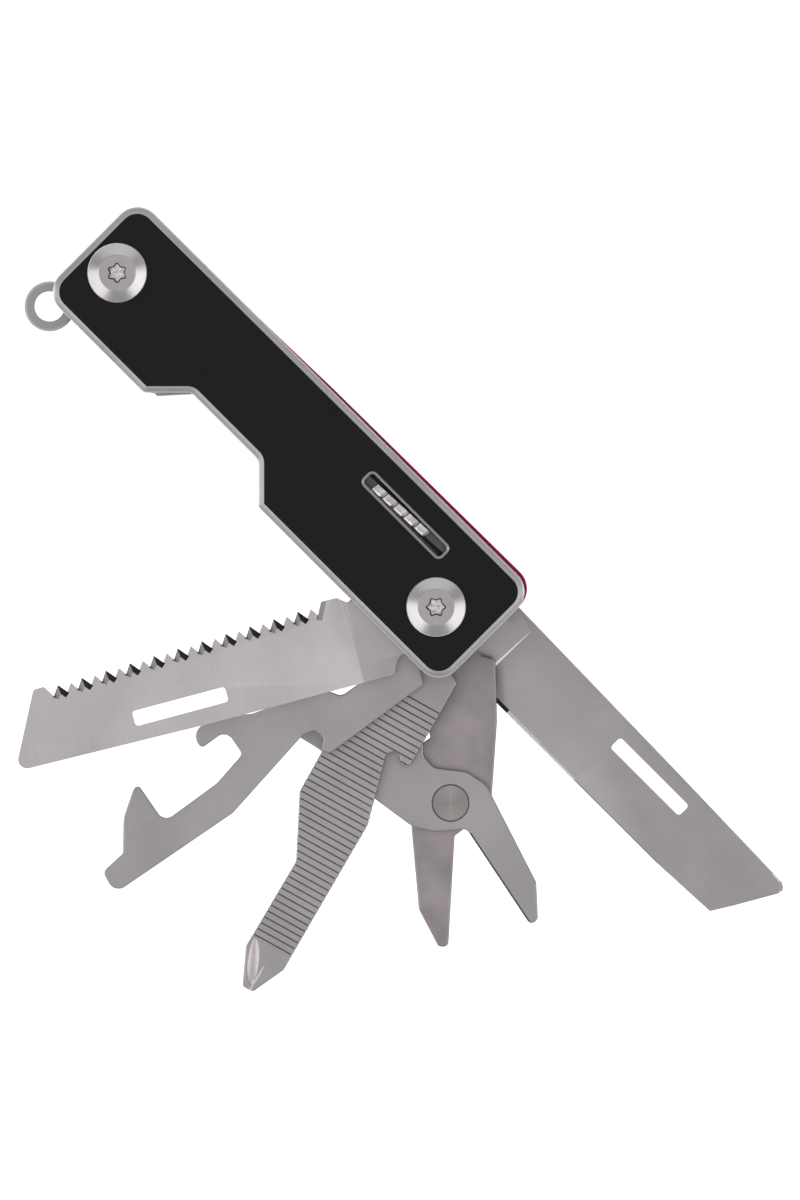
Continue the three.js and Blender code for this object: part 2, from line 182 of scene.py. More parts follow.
def plate(z0, z1, outer, holes=(), edge=0.1):
    """A flat plate of shapes, with a fine chamfer round every edge."""
    levels = []
    for z, inset in ((z0, edge), (z0 + edge, 0), (z1 - edge, 0), (z1, edge)):
        levels.append((z, outer(inset), [hole(-inset) for hole in holes]))
    return loft(levels)


def tool_plate(z0, z1, outer, holes, wall):
    """A tool plate: a shallow polished lip round both faces, then a wall of another paint; the
    tools give the wall a darker steel, partly the darker cut edge and partly painted shade that
    draws dark outlines.
    """
    levels = []
    for z, inset in ((z0, 0.2), (z0 + 0.06, 0.06), (z0 + 0.14, 0), (z1 - 0.14, 0),
                     (z1 - 0.06, 0.06), (z1, 0.2)):
        levels.append((z, outer(inset), [hole(-inset) for hole in holes]))
    return loft(levels, [0, 0, wall, wall, wall, 0, 0])


def skin(loops, paints=None):
    """Joins matching closed loops of 3D points; paints gives the material of the first
    end, of each side of the loops, and of the last end."""
    size = len(loops[0])
    paints = paints or [0] * (size + 2)
    vertices = [tuple(point) for loop in loops for point in loop]
    faces = [tuple(reversed(range(size)))]
    marks = [paints[0]]
    for k in range(len(loops) - 1):
        for i in range(size):
            a, b = k * size + i, k * size + (i + 1) % size
            faces.append((a, b, b + size, a + size))
            marks.append(paints[i + 1])
    faces.append(tuple(range(len(vertices) - size, len(vertices))))
    marks.append(paints[-1])
    return vertices, faces, marks


def normals(path):
    """Unit vectors to the left of an open path at each of its points."""
    found = []
    for i in range(len(path)):
        run = path[min(i + 1, len(path) - 1)] - path[max(i - 1, 0)]
        found.append(Vector((-run.y, run.x)).normalized())
    return found


def bevel(path, width, depth, face, up=1, paint=0, outside=0.05):
    """A cutter that grinds an edge along a path, with the metal on the path's left. face
    is the height of the ground face and up its side, 1 for the front or -1 for the rear."""
    path = [Vector(point) for point in path]
    slope = depth / width
    over = 0.5
    loops = []
    for point, inward in zip(path, normals(path)):
        low = point - inward * outside
        out = point + inward * (width + over)
        loops.append([(low.x, low.y, face - up * (depth + outside * slope)),
                      (out.x, out.y, face + up * over * slope),
                      (low.x, low.y, face + up * over * slope)])
    return skin(loops, [paint] * 5)


def turned(profile, x=0.0, y=0.0, count=96):
    """A solid of revolution about Z from [radius, z] points, first and last on the axis."""
    vertices = [(x, y, profile[0][1])]
    faces = []
    rings = profile[1:-1]
    for radius, z in rings:
        for k in range(count):
            a = 2 * math.pi * k / count
            vertices.append((x + radius * math.cos(a), y + radius * math.sin(a), z))
    vertices.append((x, y, profile[-1][1]))
    last = len(vertices) - 1
    for i in range(count):
        j = (i + 1) % count
        faces.append((0, 1 + j, 1 + i))
        for k in range(len(rings) - 1):
            low = 1 + k * count
            faces.append((low + i, low + j, low + count + j, low + count + i))
        faces.append((last, last - count + i, last - count + j))
    return vertices, faces, [0] * len(faces)


def post(x, y, radius, low, high):
    return loft([(low, circle(x, y, radius), []), (high, circle(x, y, radius), [])])


def joined(solids):
    vertices, faces, marks = [], [], []
    for some, more, paint in solids:
        start = len(vertices)
        vertices += some
        faces += [tuple(start + i for i in face) for face in more]
        marks += paint
    return vertices, faces, marks


def painted(solid, mark):
    return solid[0], solid[1], [mark] * len(solid[1])


def across(section, y0, y1, paints=None):
    """A section of (x, z) points swept across a tool."""
    return skin([[(x, y, z) for x, z in section] for y in (y0, y1)], paints)


def egg(centre, radii, turn, paint):
    """A stretched ball, for hollow-ground flutes."""
    work = bmesh.new()
    bmesh.ops.create_uvsphere(work, u_segments=40, v_segments=24, radius=1)
    spin = Matrix.Rotation(math.radians(turn), 3, "Z")
    vertices = []
    for vertex in work.verts:
        stretched = Vector([c * r for c, r in zip(vertex.co, radii)])
        vertices.append(tuple(Vector(centre) + spin @ stretched))
    faces = [tuple(v.index for v in face.verts) for face in work.faces]
    work.free()
    return vertices, faces, [paint] * len(faces)


def mesh_object(name, solid):
    vertices, faces, marks = solid
    mesh = bpy.data.meshes.new(name)
    mesh.from_pydata([Vector(v) for v in vertices], [], faces)
    mesh.polygons.foreach_set("material_index", marks)
    thing = bpy.data.objects.new(name, mesh)
    bpy.context.scene.collection.objects.link(thing)
    return thing


def outward(mesh):
    work = bmesh.new()
    work.from_mesh(mesh)
    bmesh.ops.recalc_face_normals(work, faces=work.faces)
    work.to_mesh(mesh)
    work.free()


def carve(thing, solid, operation):
    """Cuts a solid out of a mesh object; the cut faces keep the solid's paints."""
    cutter = mesh_object("cutter", solid)
    outward(cutter.data)
    for _ in range(max(solid[2]) + 1):
        cutter.data.materials.append(None)
    step = thing.modifiers.new("carve", "BOOLEAN")
    step.operation = operation
    step.object = cutter
    step.solver = "EXACT"
    step.material_mode = "INDEX"
    view = bpy.context.evaluated_depsgraph_get()
    result = bpy.data.meshes.new_from_object(thing.evaluated_get(view))
    thing.modifiers.clear()
    old = thing.data
    thing.data = result
    bpy.data.meshes.remove(old)
    rest = cutter.data
    bpy.data.objects.remove(cutter)
    bpy.data.meshes.remove(rest)


def without(*solids):
    return [(solid, "DIFFERENCE") for solid in solids]


def piece(name, body, nodes, finishes, solid, angle=0.0, cuts=(), sharp=25):
    """Makes a visible piece: solid, cuts, smooth shading between sharp edges."""
    thing = mesh_object(name, solid)
    outward(thing.data)
    for finish in finishes:
        thing.data.materials.append(finish)
    for cut, operation in cuts:
        carve(thing, cut, operation)
    thing.data.transform(Matrix.Scale(MM, 4))
    thing.data.shade_smooth()
    thing.data.set_sharp_from_angle(angle=math.radians(sharp))
    thing.rotation_euler.z = math.radians(angle)
    bpy.context.view_layer.update()
    if body:
        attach(thing, body)
    if nodes:
        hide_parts(*nodes)
    return thing


# ---------- finishes ----------
def surface(name, colour, metallic, roughness, grain, depth=0.0, tint=0.1, blotch=0.08,
            blotch_size=9.0, spread=0.08, specular=0.5, turned_look=0.0):
    """A procedural finish. grain is the size of its marks in millimetres along X, Y and Z
    of the piece, depth their bump in millimetres, tint and blotch how much the fine marks
    and the broad clouds change the colour, and spread how much the gloss changes."""
    finish = bpy.data.materials.new(name)
    finish.use_nodes = True
    nodes, links = finish.node_tree.nodes, finish.node_tree.links
    shader = nodes["Principled BSDF"]
    shader.inputs["Metallic"].default_value = metallic
    shader.inputs["Specular IOR Level"].default_value = specular
    place = nodes.new("ShaderNodeTexCoord")

    def noise(size, detail):
        scale = nodes.new("ShaderNodeMapping")
        scale.inputs["Scale"].default_value = [1 / (s * MM) for s in size]
        links.new(place.outputs["Object"], scale.inputs["Vector"])
        marks = nodes.new("ShaderNodeTexNoise")
        marks.inputs["Scale"].default_value = 1.0
        marks.inputs["Detail"].default_value = detail
        links.new(scale.outputs["Vector"], marks.inputs["Vector"])
        return marks.outputs["Fac"]

    def ranged(value, low, high):
        span = nodes.new("ShaderNodeMapRange")
        span.inputs["From Min"].default_value = 0.25
        span.inputs["From Max"].default_value = 0.75
        span.inputs["To Min"].default_value = low
        span.inputs["To Max"].default_value = high
        links.new(value, span.inputs["Value"])
        return span.outputs["Result"]

    fine = noise(grain, 3.0)
    broad = noise((blotch_size, blotch_size, blotch_size), 2.0)
    scale = nodes.new("ShaderNodeMath")
    scale.operation = "MULTIPLY"
    links.new(ranged(fine, 1 - tint, 1 + tint), scale.inputs[0])
    links.new(ranged(broad, 1 - blotch, 1 + blotch), scale.inputs[1])
    colours = nodes.new("ShaderNodeVectorMath")
    colours.operation = "SCALE"
    colours.inputs[0].default_value = colour
    links.new(scale.outputs["Value"], colours.inputs["Scale"])
    links.new(colours.outputs["Vector"], shader.inputs["Base Color"])
    links.new(ranged(fine, roughness - spread, roughness + spread), shader.inputs["Roughness"])
    if depth:
        bump = nodes.new("ShaderNodeBump")
        bump.inputs["Strength"].default_value = 1.0
        bump.inputs["Distance"].default_value = depth * MM
        links.new(fine, bump.inputs["Height"])
        links.new(bump.outputs["Normal"], shader.inputs["Normal"])
    if turned_look:
        shader.inputs["Anisotropic"].default_value = turned_look
        tangent = nodes.new("ShaderNodeTangent")
        tangent.direction_type = "RADIAL"
        tangent.axis = "Z"
        links.new(tangent.outputs["Tangent"], shader.inputs["Tangent"])
    return finish


STEEL = (0.50, 0.475, 0.50)
saw_steel = surface("saw_steel", (0.68, 0.635, 0.665), 1.0, 0.42, (0.16, 7, 3), 0.001, 0.035)
blade_steel = surface("blade_steel", (0.475, 0.45, 0.475), 1.0, 0.42, (0.14, 6, 3), 0.001, 0.04)
plain_steel = surface("plain_steel", STEEL, 1.0, 0.44, (0.25, 0.5, 0.4), 0.001, 0.04)
# A flat black used as painted shade: saw facets, screw socket mouths, knife edge bevels, the
# scissor edge bevel and the sheet under the slider.
shade_black = surface("shade_black", (0.030, 0.029, 0.030), 0.0, 0.6, (0.3, 0.1, 0.3), 0.002, 0.3,
                       specular=0.15)
warm_steel = surface("warm_steel", (0.43, 0.385, 0.395), 1.0, 0.42, (0.14, 5, 3), 0.001, 0.05,
                     blotch=0.16, blotch_size=5)
# A darker steel for the cut walls of the tools: partly the darker sheared edge, partly painted
# shade for the dark outlines.
cut_edge_and_shade_steel = surface("cut_edge_and_shade_steel", (0.24, 0.23, 0.235), 1.0, 0.45, (0.2, 0.2, 0.6), 0.002, 0.12)
# A darker steel as painted shade in the file grooves and edge nicks.
groove_shade_steel = surface("groove_shade_steel", (0.34, 0.32, 0.33), 1.0, 0.45, (0.3, 0.6, 0.3), 0.0, 0.15)
# A dark grey steel as painted shade on the saw's facets and heel and on the fine knife edge.
shade_grey_steel = surface("shade_grey_steel", (0.34, 0.335, 0.33), 1.0, 0.4, (0.4, 0.1, 0.4), 0.002, 0.15)
# A brighter steel as painted sheen on the driver's wide flute and the knife's blunt edge bevels.
sheen_steel = surface("sheen_steel", (0.66, 0.615, 0.635), 1.0, 0.36, (0.5, 0.5, 0.3), 0.0, 0.08)
# A near-white steel as painted highlight: the bright line round the front plate, the narrow driver
# flutes, the knife plunge, lip and tip corner.
highlight_steel = surface("highlight_steel", (0.84, 0.82, 0.84), 1.0, 0.32, (0.5, 0.5, 0.1), 0.0, 0.05)
spring_steel = surface("spring_steel", (0.42, 0.40, 0.40), 1.0, 0.4, (5, 0.2, 0.1), 0.002, 0.08)
liner_steel = surface("liner_steel", (0.45, 0.43, 0.44), 1.0, 0.45, (0.2, 4, 1), 0.001, 0.06)
turned_steel = surface("turned_steel", (0.60, 0.575, 0.59), 1.0, 0.22, (1.5, 1.5, 1.5), 0.0,
                       0.03, spread=0.02, turned_look=0.35)
pin_steel = surface("pin_steel", (0.42, 0.38, 0.38), 1.0, 0.33, (0.4, 0.4, 0.4), 0.0, 0.04,
                    spread=0.04, turned_look=0.8)
socket_steel = surface("socket_steel", (0.85, 0.80, 0.77), 1.0, 0.4, (0.5, 0.5, 0.3), 0.02, 0.45)
slide_steel = surface("slide_steel", (0.13, 0.13, 0.135), 1.0, 0.4, (2, 0.3, 0.3), 0.001, 0.1)
rib_steel = surface("rib_steel", (0.76, 0.72, 0.73), 1.0, 0.3, (0.6, 0.6, 0.5), 0.001, 0.12,
                    blotch=0.25, blotch_size=1.2)
black_coat = surface("black_coat", (0.0040, 0.0030, 0.0060), 0.0, 0.48, (0.07, 0.07, 0.07), 0.003,
                     0.18, blotch=0.12, blotch_size=6, specular=0.26)
bare_rim = surface("bare_rim", (0.54, 0.52, 0.53), 1.0, 0.42, (0.25, 0.25, 0.1), 0.001, 0.07)
crimson = surface("crimson", (0.38, 0.012, 0.085), 0.75, 0.36, (0.08, 0.08, 0.08), 0.002, 0.08)
bronze = surface("bronze", (0.60, 0.40, 0.20), 1.0, 0.35, (0.2, 0.2, 0.2), 0.0, 0.08)


# ---------- handle ----------
HANDLE = [(-71.6, -7.9, 3.4), (-51.2, -7.9, 1.0), (-46.4, -3.1, 1.4), (-33.0, -3.1, 1.4),
          (-28.2, -7.9, 1.0), (8.4, -7.9, 3.4), (8.4, 11.45, 3.4), (-71.6, 11.2, 3.4)]
WINDOW = box_corners(-20.0, -4.75, 5.25, 7.1, 0.5)
handle, window = shape(HANDLE), shape(WINDOW)
pivot_hole, post_hole = disc(0, 0, PIVOT_R + CLEAR), disc(*END_POST, POST_R + CLEAR)

# Front plate: black face, bare chamfer round it and round the window, dark walls, and a steep band
# below the chamfer painted near-white as a highlight line.
z0, z1 = LAYERS["front_scale"]
levels = []
for z, edge, rim in ((z0, 0.12, 0), (z0 + 0.12, 0, 0), (z1 - 0.5, 0, 0), (z1 - 0.32, 0.2, 0.06),
                     (z1 - 0.06, 0.93, 0.42), (z1 - 0.06, 0.99, 0.48), (z1, 1.05, 0.54)):
    levels.append((z, handle(edge), [pivot_hole(0), post_hole(0), window(-rim)]))
piece("front_plate", "handle", ["front_scale"],
      [black_coat, bare_rim, highlight_steel], loft(levels, [0, 0, 0, 2, 1, 0, 0, 0]))

# Rear plate: crimson all over, counterbored for the flush heads. Its spine side
# narrows towards the end post, mostly past the middle.
rear_handle = shape([*HANDLE[:-1], (-33.0, 11.09, 40), (-50.0, 10.66, 40), (-71.6, 10.3, 3.4)])
z0, z1 = LAYERS["rear_scale"]
sunk = [disc(0, 0, REAR_HEAD_R + CLEAR), disc(*END_POST, REAR_HEAD_R + CLEAR)]
plain = [pivot_hole, post_hole]
levels = []
for z, edge, holes in ((0, 0.6, sunk), (0.4, 0.05, sunk), (0.5, 0, sunk),
                       (REAR_HEAD_H + 0.05, 0, sunk), (REAR_HEAD_H + 0.05, 0, plain),
                       (z1 - 0.1, 0, plain), (z1, 0.1, plain)):
    levels.append((z, rear_handle(edge), [hole(0) for hole in holes]))
piece("rear_plate", "handle", ["rear_scale"], [crimson], loft(levels))

# Steel liners inside the plates.
LINER = [(-71.0, -7.2, 3.0), (-50.3, -7.2, 0.2), (-50.1, -6.95, 0.2), (-49.5, -6.95, 0.3),
         (-45.6, -2.6, 1.4), (-33.2, -2.6, 1.4), (-28.4, -7.3, 1.0), (7.8, -7.3, 2.8),
         (7.8, 10.8, 2.8), (-71.0, 10.8, 2.8)]
slide_slot = shape(box_corners(-23.3, -0.6, 5.0, 7.5, 0.4))
piece("front_inner_liner", "handle", ["front_liner"], [liner_steel],
      plate(*LAYERS["front_liner"], shape(LINER), [pivot_hole, post_hole, slide_slot], 0.05))
piece("rear_inner_liner", "handle", ["rear_liner"], [liner_steel],
      plate(*LAYERS["rear_liner"], lambda inset: outline(LINER, 0.6 + inset),
            [pivot_hole, post_hole], 0.05))


# Barrels with flush rear heads, and socket screws with low turned heads.
def barrel(name, node, radius, x, y):
    top = LAYERS["front_scale"][1]
    profile = [(0, 0), (REAR_HEAD_R - 0.15, 0), (REAR_HEAD_R, 0.15), (REAR_HEAD_R, REAR_HEAD_H),
               (radius, REAR_HEAD_H), (radius, top), (1.6, top), (1.6, 8), (0, 8)]
    piece(name, "handle", [node], [turned_steel], turned(profile, x, y))


def star(x, y, twist):
    """The driver socket of a screw: six points, a chamfered mouth painted black as shade, a rough
    floor.
    """
    points = []
    for k in range(12):
        a = twist + k * math.pi / 6
        radius, bend = (1.38, 0.12) if k % 2 == 0 else (0.92, 0.25)
        points.append((x + radius * math.cos(a), y + radius * math.sin(a), bend))
    levels = []
    for z, inset in ((TOP - 0.7, 0.02), (TOP - 0.4, 0), (TOP - 0.05, -0.15), (TOP + 0.5, -0.15)):
        levels.append((z, outline(points, inset), []))
    return loft(levels, [1, 2, 2, 2, 2])


def screw(name, node, twist, x, y):
    under = LAYERS["front_scale"][1] + 0.05
    flat = HEAD_R * 0.60
    profile = [(0, 8.6), (1.4, 8.6), (1.4, under), (HEAD_R, under), (HEAD_R, TOP - 0.62),
               (HEAD_R - 0.1, TOP - 0.52), (HEAD_R - 0.2, TOP - 0.488), (flat + 0.25, TOP - 0.062),
               (flat + 0.06, TOP - 0.01), (flat, TOP), (flat - 0.03, TOP - 0.11),
               (flat - 0.12, TOP - 0.12), (1.9, TOP - 0.08), (1.4, TOP - 0.05), (0, TOP - 0.02)]
    piece(name, "handle", [node], [turned_steel, socket_steel, shade_black],
          turned(profile, x, y), cuts=without(star(x, y, twist)))


barrel("pivot_barrel_turned", "pivot_barrel", PIVOT_R, 0, 0)
barrel("end_barrel_turned", "end_barrel", POST_R, *END_POST)
screw("pivot_screw_head", "pivot_screw", -0.24, 0, 0)
screw("end_screw_head", "end_screw", 0.28, *END_POST)

for k, (below, above) in enumerate(GAPS, 1):
    bottom, top = LAYERS[below][1], LAYERS[above][0]
    piece(f"washer_{k}", "handle", [f"pivot_washer_{k}"], [bronze],
          plate(bottom + 0.1, top - 0.1, disc(0, 0, WASHER_R), [pivot_hole], 0.04))
    piece(f"spacer_{k}", "handle", [f"end_spacer_{k}"], [plain_steel],
          plate(bottom + 0.05, top - 0.05, disc(*END_POST, SPACER_R), [post_hole], 0.05))
piece("lever_layer_ring", "handle", ["pivot_spacer"], [plain_steel],
      plate(*LAYERS["scissor_lever"], disc(0, 0, 4.2), [pivot_hole]))

# Back springs: an eye on the end post, a slim arm and a foot over the tang.
SPRING = [*arc(*END_POST, 4.2, 180, 330, 20),
          (-60.4, 4.6, 2.2), (-56.5, 6.9, 3.0), (-13.0, 6.9, 3.0), (-9.0, 5.75, 2.0),
          (6.4, 5.75, 0.4), (6.4, 8.8, 0.6), (4.2, 10.6, 1.5), (-70.2, 10.6, 2.6)]
for layer in ("knife", "scissor_tang", "driver", "opener", "saw"):
    node = "backspring_" + layer.replace("scissor_tang", "scissors")
    piece(node.replace("back", "back_"), "handle", [node], [spring_steel],
          plate(*LAYERS[layer], shape(SPRING), [post_hole]))

# ---------- tools ----------
TANG_TOP = [(8.35, 7.85, 0.6), (7.45, 5.95, 0.5), (6.7, 5.35, 0.6)]
TANG_END = arc(0, 0, TANG_R, 82, 278, 30)
EYE = disc(0, 0, PIVOT_R + CLEAR)
# Coordinates beyond the tip and the sides of any tool.
FAR = 80
WIDE = 12

# Saw: fine and coarse teeth in turn, along an edge that drops towards the tang.
SAW_PITCH = 3.59
SAW_PAIRS = 11
SAW_DROP = 0.035
SAW_END = 55.35
ROOT = 1.85
COARSE_TIP = 3.15
FINE_TIP = 3.0
GROUND = 0.2


def tooth_place(k):
    """The place of a coarse tooth on the line of the back of the teeth."""
    return Vector((SAW_END - SAW_PITCH * k, -SAW_DROP * SAW_PITCH * k))


def saw_teeth():
    corners = []
    for k in reversed(range(SAW_PAIRS)):
        x, low = tooth_place(k)
        corners += [(x - 2.68, low - ROOT), (x - 1.9, low - FINE_TIP, 0.08),
                    (x - 1.1, low - ROOT), (x, low - COARSE_TIP, 0.06)]
    return corners + [(56.3, -1.75)]


SAW = [*TANG_TOP, *TANG_END, (10.9, -5.0, 0.6), (11.6, -4.2, 0.4), (12.25, -3.75, 0.4),
       (13.6, -4.85, 0.3), (15.85, -4.9, 0.2), *saw_teeth(),
       (57.35, -3.45, 0.5), (58.9, -3.4, 0.5), (60.2, -0.9, 0), (64.45, 7.25, 1.3), (36, 7.8, 0)]
z0, z1 = LAYERS["saw"]
saw_face = z1 - GROUND
# The coarse teeth are ground to a facet on each side; one facet is painted black and the other dark
# grey, as painted shade for the dark surroundings they reflect.
left_facets, right_facets = [], []
for k in range(SAW_PAIRS):
    here = tooth_place(k)
    tip = here + Vector((0, -COARSE_TIP))
    left = here + Vector((-1.1, -ROOT))
    right = here + Vector((0.91, -ROOT))
    start = left + (left - tip) * 0.17
    end = right + (right - tip) * 0.17
    past_left = tip + (tip - left) * 0.2
    past_right = tip + (tip - right) * 0.2
    left_facets.append(bevel([start, past_left], 0.78, 0.55, saw_face, paint=2))
    right_facets.append(bevel([past_right, end], 0.88, 0.5, saw_face, paint=1))
# The heel bevel is painted dark grey as shade.
heel = bevel([(15.75, -5.2), (17.05, -2.6)], 0.75, 0.25, saw_face, paint=1)


def saw_step(z, depth):
    """Thins one face of the blade beyond the tang, down a short slope."""
    section = [(12.3, z), (12.85, z + depth), (FAR, z + depth), (FAR, z - 3 * depth),
               (12.3, z - 3 * depth)]
    return across(section, -WIDE, WIDE, [0, 3, 0, 0, 0, 0, 0])


saw_slot = shape(box_corners(32.3, 46.1, 3.25, 5.45, 0.5))
piece("saw", "saw", ["saw_blade"],
      [saw_steel, shade_grey_steel, shade_black, plain_steel],
      painted(plate(z0, z1, shape(SAW), [EYE, saw_slot], 0.07), 3), FAN["saw"],
      cuts=without(saw_step(z0, GROUND), saw_step(z1, -GROUND), joined(left_facets),
                   joined(right_facets), heel))

# Bottle and tin opener: a notch, the mouth with its lip, and the hook.
OPENER = [*TANG_TOP, *TANG_END, (11.0, -5.0, 0.8), (14.6, 2.2, 1.6), (18.7, 2.15, 1.2),
          (20.4, -0.4, 1.0), (30.6, -3.5, 2.0), (34.4, -5.9, 2.0), (39.5, -6.9, 1.9),
          (39.2, -3.8, 0.6), (34.9, -3.75, 1.4), (35.05, 0.35, 0.9), (40.6, 1.5, 3.0),
          (49.9, 1.4, 1.4), (49.65, -5.1, 0.55), (50.6, -4.95, 1.0), (54.2, -2.5, 5.0),
          (57.3, 1.5, 0.4), (61.2, 1.9, 0.9), (61.7, 5.45, 1.6), (41.2, 6.3, 1.5),
          (26.4, 3.3, 1.4), (24.45, 3.9, 1.2), (24.4, 5.5, 0.8), (25.75, 6.7, 0.2),
          (24.9, 7.75, 0.4)]
piece("opener", "opener", ["bottle_opener"], [plain_steel, cut_edge_and_shade_steel],
      tool_plate(*LAYERS["opener"], shape(OPENER), [EYE], 1), FAN["opener"], sharp=15)

# File and cross-point driver.
DRIVER = [*TANG_TOP, *TANG_END, (12.0, -5.0, 2.0), (16.0, -4.35, 2.0), (32.9, -4.4, 1.0),
          (41.9, 0.0, 1.5), (56.0, -0.4, 0.8), (61.3, 1.95, 0.5), (61.3, 3.65, 0.7),
          (56.4, 6.0, 0.6), (32.4, 6.5, 3.0), (22.2, 3.85, 0.9), (20.9, 5.1, 0.5),
          (22.6, 6.5, 0.25), (21.9, 7.65, 0.6)]
GROOVES = 43
GROOVE_PITCH = 0.965
GROOVE_START = 13.4
GROOVE_DEPTH = 0.1
z0, z1 = LAYERS["driver"]


def groove(x, z, depth):
    """A V groove right across the file."""
    return across([(x - 0.15, z + depth), (x - 0.11, z), (x, z - depth), (x + 0.11, z),
                   (x + 0.15, z + depth)], -WIDE, WIDE)


def edge_nick(x, y):
    """A small notch down the side of the file where a groove ends."""
    return loft([(z, circle(x, y, 0.13, 4), []) for z in (z0 - 1, z1 + 1)])


def crossings(points, x):
    """Heights where the outline of a tool crosses a line across it."""
    found = []
    for i, here in enumerate(points):
        before = points[i - 1]
        if (before.x - x) * (here.x - x) < 0:
            found.append(before.y + (here.y - before.y) * (x - before.x) / (here.x - before.x))
    return found


driver_edge = outline(DRIVER)
places = [GROOVE_START + GROOVE_PITCH * k for k in range(GROOVES)]
# The grooves and nicks are painted a darker steel as shade in the recesses.
front_grooves = painted(joined([groove(x, z1, GROOVE_DEPTH) for x in places]), 1)
rear_grooves = painted(joined([groove(x, z0, -GROOVE_DEPTH) for x in places]), 1)
nicks = painted(joined([edge_nick(x, y) for x in places for y in crossings(driver_edge, x)]), 1)
# The cross-point tip: a wide hollow flute painted a brighter steel as sheen, and two narrow ones
# painted near-white as highlights, on each face.
flutes = []
for z in (z0, z1):
    flutes.append(egg((57.3, 1.5, z), (3.5, 0.92, 0.42), 23.8, 3))
    flutes.append(egg((58.9, 2.55, z), (2.6, 0.2, 0.25), 20, 2))
    flutes.append(egg((59.6, 3.2, z), (2.5, 0.22, 0.3), -2, 2))
piece("driver", "driver", ["file_driver"],
      [plain_steel, groove_shade_steel, highlight_steel, sheen_steel, cut_edge_and_shade_steel],
      tool_plate(z0, z1, shape(DRIVER), [EYE], 4), FAN["driver"],
      cuts=without(front_grooves, rear_grooves, nicks, *flutes), sharp=15)

# Knife: sheepsfoot blade with a thumb slot, both faces ground down to the edge.
KNIFE = [*TANG_TOP, *TANG_END, (11.0, -5.1, 0.8), (13.9, -3.7, 0.8), (15.4, -4.15, 0.4),
         (48, -4.15, 8), (58.6, -3.65, 0.3), (60.3, -0.9, 0.5), (64.2, 5.9, 0.9),
         (62.9, 6.6, 0.6), (42, 7.15, 0)]
GRIND_TOP = 6.7
GRIND_SLOPE = 0.85 / 10.9
PLUNGE = 12.1
z0, z1 = LAYERS["knife"]


def grind_depth(y):
    """How deep each face is ground at a height across the blade."""
    return (GRIND_TOP - y) * GRIND_SLOPE


def knife_grind(z, side):
    """Grinds one face from near the spine down to the edge, with a sloping plunge face painted
    near-white as a highlight.
    """
    corners = [(GRIND_TOP, 0), (-6, grind_depth(-6)), (-6, -1), (GRIND_TOP, -1)]
    start = [(PLUNGE - 0.2 * (grind_depth(y) - d), y, z - side * d) for y, d in corners]
    end = [(FAR, y, z - side * d) for y, d in corners]
    return skin([start, end], [1, 0, 0, 0, 0, 0])


def knife_lip(z, side):
    """A shallow lip beside the plunge, widening towards the edge, painted near-white as a
    highlight.
    """
    loops = []
    for y, width in ((6.6, 0.01), (6.0, 0.08), (-1.0, 0.46), (-6.0, 0.55)):
        start = PLUNGE - width
        end = PLUNGE + 0.25 * width
        loops.append([(start, y, z), (end, y, z - side * (end - start) * 0.3),
                      (end, y, z + side), (start, y, z + side)])
    return skin(loops, [1] * 6)


def knife_edge(z, side):
    """Bevels along the cutting edge of one face: a blunt start painted black as shade, then bevels
    painted bright as sheen, then the fine edge painted dark grey as shade, with a thin black line
    of painted shade along the edge.
    """
    edge = -4.15
    ground = z - side * grind_depth(edge + 0.55)
    cuts = []
    for x0, x1, width, depth, paint in ((13.4, 17.9, 0.58, 0.12, 3), (17.9, 24.4, 0.5, 0.1, 4),
                                        (24.4, 31.5, 0.36, 0.1, 4), (31.5, 62, 0.22, 0.1, 2),
                                        (18.6, 62, 0.12, 0.13, 3)):
        cuts.append(bevel([(x0, edge), (x1, edge)], width, depth, ground, side, paint))
    return cuts


knife_slot = shape(box_corners(31.9, 45.8, 2.85, 4.95, 0.5))
# The rounded tip corner gets a bevel painted near-white as a highlight.
tip_corner = [(64.05, 4.9), (63.75, 5.75), (63.2, 6.35), (62.4, 6.7), (61.2, 6.75)]
piece("knife", "knife", ["knife_blade"],
      [blade_steel, highlight_steel, shade_grey_steel, shade_black, sheen_steel],
      plate(z0, z1, shape(KNIFE), [EYE, knife_slot], 0.06), FAN["knife"],
      cuts=without(knife_grind(z0, -1), knife_grind(z1, 1), knife_lip(z1, 1), *knife_edge(z0, -1),
                   *knife_edge(z1, 1), bevel(tip_corner, 0.3, 0.3, z1 - 0.02, paint=1)))

# Scissors: the rear half hangs on the main pivot, the front half turns on the rivet.
SCISSOR_TANG = [(8.0, 8.0, 0.6), (7.4, 5.95, 0.5), (6.7, 5.35, 0.6), *TANG_END,
                (11.0, -4.9, 1.0), (16.7, -3.75, 0.8), (17.9, -1.9, 0.4), (19.0, -1.6, 0.4),
                (19.8, -2.9, 0.6), (24.5, -4.5, 2.0), (31.9, -4.7, 0), (43.6, -3.95, 1.0),
                (49.0, -1.3, 0.6), (49.1, 0.1, 0.7), (33.2, 1.45, 0.6), (32.0, 3.2, 1.0),
                (29.0, 6.8, 3.0), (17, 7.95, 3)]
z0, z1 = LAYERS["scissor_tang"]
piece("scissor_rear_half", "scissors", ["scissor_tang"], [warm_steel, cut_edge_and_shade_steel],
      tool_plate(z0, z1, shape(SCISSOR_TANG), [EYE, disc(*RIVET, RIVET_BORE)], 1), FAN["scissors"],
      cuts=without(post(*RIVET, 2.5, z0 - 1, z0 + 0.65)), sharp=15)

